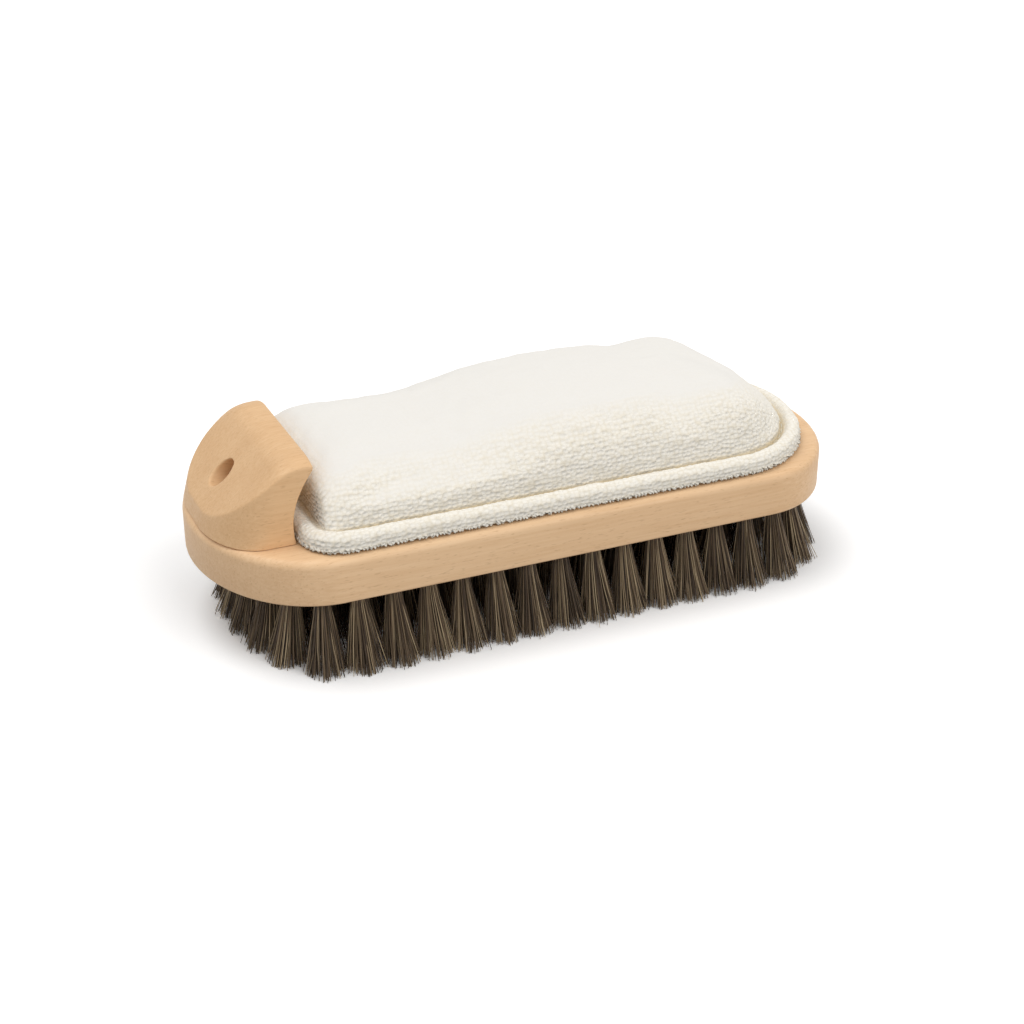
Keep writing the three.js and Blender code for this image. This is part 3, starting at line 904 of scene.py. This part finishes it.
def padRing(shape, inset, stretch=0.0, least=1.0):  # outline of the pad, stepped in from its edge, as points in mm
    low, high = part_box("pad_cover_base")
    near, half = low.x / mm + inset - stretch, high.y / mm - inset
    middle = high.x / mm - shape["endDepth"]
    corner = min(max(shape["corner"] - inset, least), half)
    farSteps, sideSteps, cornerSteps, nearSteps = shape["steps"]
    turn = np.linspace(-math.pi / 2, math.pi / 2, farSteps + 1)[:-1]
    quarter = np.linspace(0, math.pi / 2, cornerSteps + 1)[:-1]
    depth = max(shape["endDepth"] - inset, shape["leastDepth"])
    far = np.stack([middle + depth * np.cos(turn), half * np.sin(turn)], 1)
    side = np.stack([np.linspace(middle, near + corner, sideSteps + 1)[:-1], np.full(sideSteps, half)], 1)
    curve = np.stack([near + corner * (1 - np.sin(quarter)), half - corner * (1 - np.cos(quarter))], 1)
    end = np.stack([np.full(nearSteps + 1, near), np.linspace(half - corner, 0, nearSteps + 1)], 1)
    upper = np.concatenate([side, curve, end])
    lower = upper[-2:0:-1] * (1, -1)
    return np.concatenate([far, upper, lower])


def padSlab(shape, bottom, top):
    bm = bmesh.new()
    bm.faces.new([bm.verts.new((x * mm, y * mm, bottom * mm)) for x, y in padRing(shape, 0)])
    extrude(bm, (0, 0, (top - bottom) * mm))
    return bm


def crownHeights(shape, x):  # top of the stuffing along the pad
    width = shape["evened"]
    places, heights = zip(*shape["stuffing"])
    steps = np.arange(*shape["stuffed"], dtype=float)
    even = np.convolve(np.interp(steps, places, heights), np.ones(width) / width, "same")
    return np.interp(x, steps, even)


def crownMesh(shape):
    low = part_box("pad_cover_base")[0].x / mm + shape["crownInset"]
    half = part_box("pad_cover_base")[1].y / mm
    lean = math.radians(shape["lean"])
    rounds = [(shape["crownInset"], 0.0)]
    for turn in np.linspace(lean, math.pi / 2, shape["shoulderSteps"] + 1):
        inset = 1 - math.cos(turn) / math.cos(lean)
        rise = (math.sin(turn) - math.sin(lean)) / (1 - math.sin(lean))
        rounds.append((shape["crownInset"] + shape["shoulder"] * inset, rise))
    last = rounds[-1][0]
    rounds += [(inset, 1.0) for inset in np.linspace(last, half - shape["topSlit"], shape["topSteps"] + 1)[1:]]
    bm = bmesh.new()
    rings = []
    for number, (inset, rise) in enumerate(rounds):
        plan = padRing(shape, inset, shape["noseCut"], shape["crownCorner"])
        top = crownHeights(shape, plan[:, 0])
        height = shape["crownFoot"] + (top - shape["crownFoot"]) * rise
        if number == 0:
            height[:] = shape["crownLow"]
        rings.append([bm.verts.new((x * mm, y * mm, z * mm)) for (x, y), z in zip(plan, height)])
    bm.faces.new(rings[0])
    bm.faces.new(rings[-1])
    count = len(rings[0])
    for below, above in zip(rings, rings[1:]):
        for number in range(count):
            after = (number + 1) % count
            bm.faces.new((below[number], below[after], above[after], above[number]))
    cutAway(bm, (low * mm, 0, 0), (-1, 0, 0))
    return linkBmesh("padCrown", bm)


def levelEdges(bm, height):
    return [edge for edge in bm.edges if all(abs(vert.co.z - height * mm) < tiny for vert in edge.verts)]


def seamLine(shape):  # the sewn line as closely spaced points in mm
    ring = padRing(shape, shape["seamInset"])
    ring = np.concatenate([ring, ring[:1]])
    lengths = np.concatenate([[0], np.cumsum(np.linalg.norm(np.diff(ring, axis=0), axis=1))])
    along = np.linspace(0, lengths[-1], shape["seamPoints"])
    return along, np.interp(along, lengths, ring[:, 0]), np.interp(along, lengths, ring[:, 1])


def seamTree(shape):
    tree = KDTree(shape["seamPoints"])
    for index, (_, x, y) in enumerate(zip(*seamLine(shape))):
        tree.insert((x * mm, y * mm, 0), index)
    tree.balance()
    return tree


def swell(piece, shape):  # the stuffing presses the cloth out from its sewn foot
    mesh = piece.data
    start = meshPoints(mesh)
    held = piece.vertex_groups.new(name="sewn")
    low = np.flatnonzero(start[:, 2] < (shape["rimTop"] + shape["sewnUp"]) * mm)
    held.add([int(index) for index in low], 1.0, "REPLACE")
    cloth = piece.modifiers.new("cloth", "CLOTH")
    cloth.settings.use_pressure = True
    cloth.settings.uniform_pressure_force = shape["pressure"]
    cloth.settings.vertex_group_mass = held.name
    cloth.settings.effector_weights.gravity = 0
    cloth.settings.tension_stiffness = shape["stiffness"]
    cloth.settings.compression_stiffness = shape["stiffness"]
    cloth.point_cache.frame_start = 1
    cloth.point_cache.frame_end = shape["simFrames"]
    for number in range(1, shape["simFrames"] + 1):
        scene.frame_set(number)
    end = meshPoints(applyModifiers(piece))
    scene.frame_set(1)
    moved = end - start
    length = np.linalg.norm(moved, axis=1, keepdims=True)
    limit = shape["swellLimit"] * mm
    setPoints(piece.data, start + moved * np.minimum(1, limit / np.maximum(length, tiny)))
    print("crown swelled by up to", round(float(length.max()) / mm, 2), "mm")


def padCover(shape):  # the rolled rim and the crown in one closed mesh
    crown = crownMesh(shape)
    remesh(crown, shape["simStep"])
    swell(crown, shape)
    fine = crown.modifiers.new("fine", "SUBSURF")
    fine.levels = fine.render_levels = 1
    applyModifiers(crown)

    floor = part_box("pad_cover_base")[0].z / mm
    bm = padSlab(shape, floor, shape["rimTop"])
    for height, size in ((floor, "rimFoot"), (shape["rimTop"], "rimRound")):
        roundEdges(bm, levelEdges(bm, height), shape[size], shape["rimSteps"])
    top = max(bm.faces, key=lambda face: face.calc_center_median().z)
    for width in (shape["rimCrest"] - shape["rimRound"], shape["rimWidth"] - shape["rimCrest"]):
        bmesh.ops.inset_region(bm, faces=[top], thickness=width * mm, use_even_offset=True)
    bmesh.ops.translate(bm, verts=top.verts, vec=(0, 0, (shape["grooveFloor"] - shape["rimTop"]) * mm))
    bm.from_mesh(crown.data)
    bpy.data.objects.remove(crown)
    cover = linkBmesh("padCover", bm)
    remesh(cover, shape["fineStep"])
    bm = bmesh.new()
    bm.from_mesh(cover.data)
    bpy.data.objects.remove(cover)
    soften(bm, shape["softening"])
    return bm


def dressCover(shape, bm):  # presses in the seam, raises lumps and knobs, and marks the painted shade along the seam and the painted light on the walls
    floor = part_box("pad_cover_base")[0].z / mm
    plain, grown = shape["plainFoot"]
    noseX, noseRun, noseLeast = shape["noseSeam"]
    coarse, fine = shape["lumpScales"]
    flatFrom, flatOver, flatLeast = shape["lying"]
    tree = seamTree(shape)
    bm.normal_update()
    shifts, tones, piles = [], [], []
    for vert in bm.verts:
        away = tree.find((vert.co.x, vert.co.y, 0))[2] / mm
        upper = clamp((vert.co.z / mm - floor - plain) / grown)
        low = vert.co.z / mm < shape["rimTop"] - shape["seamBelow"]
        groove = math.exp(-((away / shape["seamWidth"]) ** 2)) * low * upper
        groove *= clamp((vert.co.x / mm + noseX) / noseRun, noseLeast)
        lump = noise.noise(vert.co * coarse) + shape["lumpShare"] * noise.noise(vert.co * fine)
        knob = shape["knobLevel"] - noise.voronoi(vert.co / (shape["knobSize"] * mm))[0][0]
        onRim = vert.co.z < (shape["rimTop"] + shape["rimPile"]) * mm
        steep = 1.0 if onRim else clamp((flatFrom - vert.normal.z) / flatOver, flatLeast)
        out = (lump * shape["lumps"] + knob * shape["knobs"] * steep) * upper * (1 - groove)
        shifts.append(vert.normal * out * mm - Vector((0, 0, groove * shape["seamDepth"] * mm)))
        # painted shade along the seam, read by the material
        tones.append(groove)
        # painted light on the walls and painted shade between their knobs, read by the material
        piles.append(steep * shape["pilePaintedLight"])
    for vert, shift in zip(bm.verts, shifts):
        vert.co += shift
    seamLayer = bm.verts.layers.float.new("seamTone")
    pileLayer = bm.verts.layers.float.new("pilePaintedLight")
    for vert, tone, pile in zip(bm.verts, tones, piles):
        vert[seamLayer] = tone
        vert[pileLayer] = pile


def splitPad(shape, bm):
    pieces = []
    for name, side in (("terryTop", 1), ("terryBase", -1)):
        half = bm.copy()
        cutAway(half, (0, 0, shape["split"] * mm), (0, 0, -side))
        pieces.append(linkBmesh(name, half))
    bm.free()
    return pieces


coverMesh = padCover(padShape)
dressCover(padShape, coverMesh)
terryTop, terryBase = splitPad(padShape, coverMesh)
for piece, nodes in ((terryTop, ("pad_cover_top", "pad_core")), (terryBase, ("pad_cover_base",))):
    smoothShade(piece.data, padShape["shadeAngle"])
    finishPiece(piece, creamTerry, "pad", "terry", *nodes)
print("pad cover built,", len(terryTop.data.polygons), "faces on top")

# Loops of the terry

pileShape = {
    "pitch": (1.1, 0.9),  # mm, along a row and across the rows
    "reach": (0.35, 1.1),  # mm, loops stand between these heights above the pad's underside
    "upright": 0.8,  # and only where it faces neither up nor down by more than this
    "height": 0.35,
    "heights": (0.75, 1.2),  # share of the height
    "width": 0.9,
    "widths": (0.7, 1.2),
    "turn": 0.4,  # radians off the row
    "lean": 0.12,
    "leanSpread": (1, 0.6),  # across and along the row
    "least": 0.2,  # less than this is no direction
    "root": 0.2,  # mm, how deep the ends go in
    "yarn": 0.34,  # half the yarn's width
    "yarnShape": (0.9, 1.1, 0.9),
    # painted light: the loops get most of the walls' brighter colour
    "tone": 0.8,
    "seed": 23,
}


def buildPile(shape, *sources):  # loops round the edge of the rim
    rng = random.Random(shape["seed"])
    along, across = shape["pitch"]
    lowest, highest = shape["reach"]
    leanSide, leanForward = shape["leanSpread"]
    taken, runs = set(), []
    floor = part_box("pad_cover_base")[0].z
    faces = [face for source in sources for face in source.data.polygons if len(face.vertices) < capCorners]
    rng.shuffle(faces)
    for face in faces:
        place, normal = face.center, face.normal
        if abs(normal.z) > shape["upright"] or not lowest * mm < place.z - floor < highest * mm:
            continue
        cell = (round(place.x / mm / along), round(place.y / mm / across), round(place.z / mm / across))
        if cell in taken:
            continue
        taken.add(cell)
        side = Vector((1, 0, 0)).cross(normal)
        side = side.normalized() if side.length > shape["least"] else Vector((0, 1, 0))
        turn = rng.gauss(0, shape["turn"])
        forward = normal.cross(side)
        way = forward * math.cos(turn) + side * math.sin(turn)
        way = way * shape["width"] * mm * rng.uniform(*shape["widths"]) / 2
        tall = shape["height"] * rng.uniform(*shape["heights"]) * mm
        lean = (side * rng.gauss(0, leanSide) + forward * rng.gauss(0, leanForward)) * shape["lean"] * mm
        sunk = normal * shape["root"] * mm
        points = [place - way - sunk, place + normal * tall + lean, place + way - sunk]
        runs.append((points, shape["yarnShape"]))
    mesh = curveMesh("terryLoops", runs, shape["yarn"] * mm)
    # painted light on the loops, as on the walls
    setTone(mesh, "pilePaintedLight", np.full(len(mesh.vertices), shape["tone"]))
    mesh.shade_smooth()
    finishPiece(linkMesh("terryLoops", mesh), creamTerry, "pad", "terry")
    print("loops sewn,", len(runs))


buildPile(pileShape, terryTop, terryBase)

# Stitching

stitchShape = {
    "length": 3.1,  # mm
    "gap": 0.8,
    "thread": 0.32,  # half the thread's width
    "steps": ((0, 0.8), (0.2, 1), (0.5, 1.05), (0.8, 1), (1, 0.8)),  # share of a stitch's length, thickness
    "dip": 0.75,  # the two ends go down this far
    "pressed": 0.3,  # share of the seam's depth that the thread lies in
}


def buildStitches(shape):
    lengths, xs, ys = seamLine(padShape)
    step = lengths[-1] / round(lengths[-1] / (shape["length"] + shape["gap"]))
    thickness = [thick for _, thick in shape["steps"]]
    level = padShape["grooveFloor"] - padShape["seamDepth"] * shape["pressed"]
    runs = []
    for number in range(round(lengths[-1] / step)):
        points = []
        for share, _ in shape["steps"]:
            along = number * step + share * shape["length"]
            height = level - shape["dip"] if share in (0, 1) else level
            place = Vector((np.interp(along, lengths, xs), np.interp(along, lengths, ys), height))
            points.append(place * mm)
        runs.append((points, thickness))
    mesh = curveMesh("padStitches", runs, shape["thread"] * mm)
    mesh.shade_smooth()
    finishPiece(linkMesh("padStitches", mesh), seamThread, "pad", "thread", "pad_stitching")
    print("stitches sewn,", len(runs))


buildStitches(stitchShape)

print("pieces finished")
